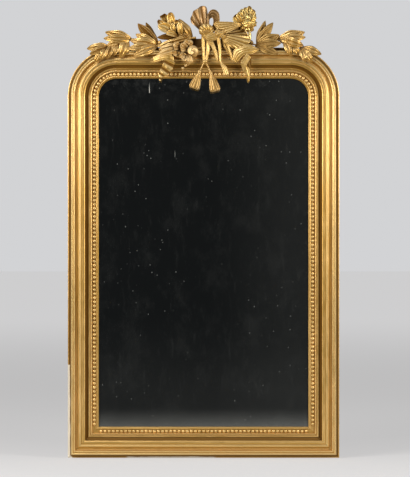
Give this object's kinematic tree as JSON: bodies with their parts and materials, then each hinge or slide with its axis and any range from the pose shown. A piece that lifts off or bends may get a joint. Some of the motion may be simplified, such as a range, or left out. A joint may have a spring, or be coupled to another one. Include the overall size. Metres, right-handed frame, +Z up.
{
  "type": "overmantel mirror",
  "caption": "Tall giltwood overmantel mirror with rounded upper corners, beaded sight edge and an openwork crest of laurel, blossoms, ribbon and tassels.",
  "frame": {"origin": "middle of the underside of the bottom rail, where the frame stands on the mantel shelf", "axes": "+Z up, the mirror faces -Y and its back lies against the wall on the +Y side, +X to the right seen from the front"},
  "size_m": [0.95, 0.0989, 1.5851],
  "materials": {
    "gilt_moulding": "burnished gold leaf over gesso, worn",
    "gilt_pearls": "gold leaf over composition",
    "gilt_ornament": "gold leaf over carved wood and composition",
    "pine": "bare aged pine",
    "mirror_glass": "old foxed silvering",
    "iron": "dark wrought iron"
  },
  "bodies": {
    "frame": {"backboard_left": "pine", "backboard_middle": "pine", "backboard_right": "pine", "blossom_left": "gilt_ornament", "blossom_right": "gilt_ornament", "corner_block_left": "pine", "corner_block_right": "pine", "crest_backing": "gilt_ornament", "glass_slip_bottom": "pine", "glass_slip_left": "pine", "glass_slip_right": "pine", "glass_slip_top": "pine", "hanger_screw_lower_left": "iron", "hanger_screw_lower_right": "iron", "hanger_screw_upper_left": "iron", "hanger_screw_upper_right": "iron", "hanger_strap_left": "iron", "hanger_strap_right": "iron", "mirror_glass": "mirror_glass", "moulding_bottom": "gilt_moulding", "moulding_corner_left": "gilt_moulding", "moulding_corner_right": "gilt_moulding", "moulding_left": "gilt_moulding", "moulding_right": "gilt_moulding", "moulding_top": "gilt_moulding", "nail_lower_left": "iron", "nail_lower_middle": "iron", "nail_lower_right": "iron", "nail_upper_left": "iron", "nail_upper_middle": "iron", "nail_upper_right": "iron", "pearls_bottom": "gilt_pearls", "pearls_corner_left": "gilt_pearls", "pearls_corner_right": "gilt_pearls", "pearls_left": "gilt_pearls", "pearls_right": "gilt_pearls", "pearls_top": "gilt_pearls", "rail_bottom": "pine", "rail_top": "pine", "ribbon_loop_side": "gilt_ornament", "ribbon_loops_upper": "gilt_ornament", "ribbon_rosette": "gilt_ornament", "ribbon_strands": "gilt_ornament", "ribbon_tail_left": "gilt_ornament", "ribbon_tail_right": "gilt_ornament", "rosebud_cluster": "gilt_ornament", "spray_left_inner": "gilt_ornament", "spray_left_outer": "gilt_ornament", "spray_right_inner": "gilt_ornament", "spray_right_outer": "gilt_ornament", "stile_left": "pine", "stile_right": "pine", "tassel_left": "gilt_ornament", "tassel_right": "gilt_ornament", "tenon_rail_left": "pine", "tenon_rail_right": "pine", "tenon_stile_left": "pine", "tenon_stile_right": "pine"},
    "ring_left": {"hanging_ring_left": "iron"},
    "ring_right": {"hanging_ring_right": "iron"}
  },
  "joints": [
    {"name": "ring_left_hinge", "type": "hinge", "parent": "frame", "child": "ring_left", "pos_m": [-0.433, 0.0068, 1.18], "axis": [1, 0, 0], "range_deg": [0, 130]},
    {"name": "ring_right_hinge", "type": "hinge", "parent": "frame", "child": "ring_right", "pos_m": [0.433, 0.0068, 1.18], "axis": [1, 0, 0], "range_deg": [0, 130]}
  ]
}
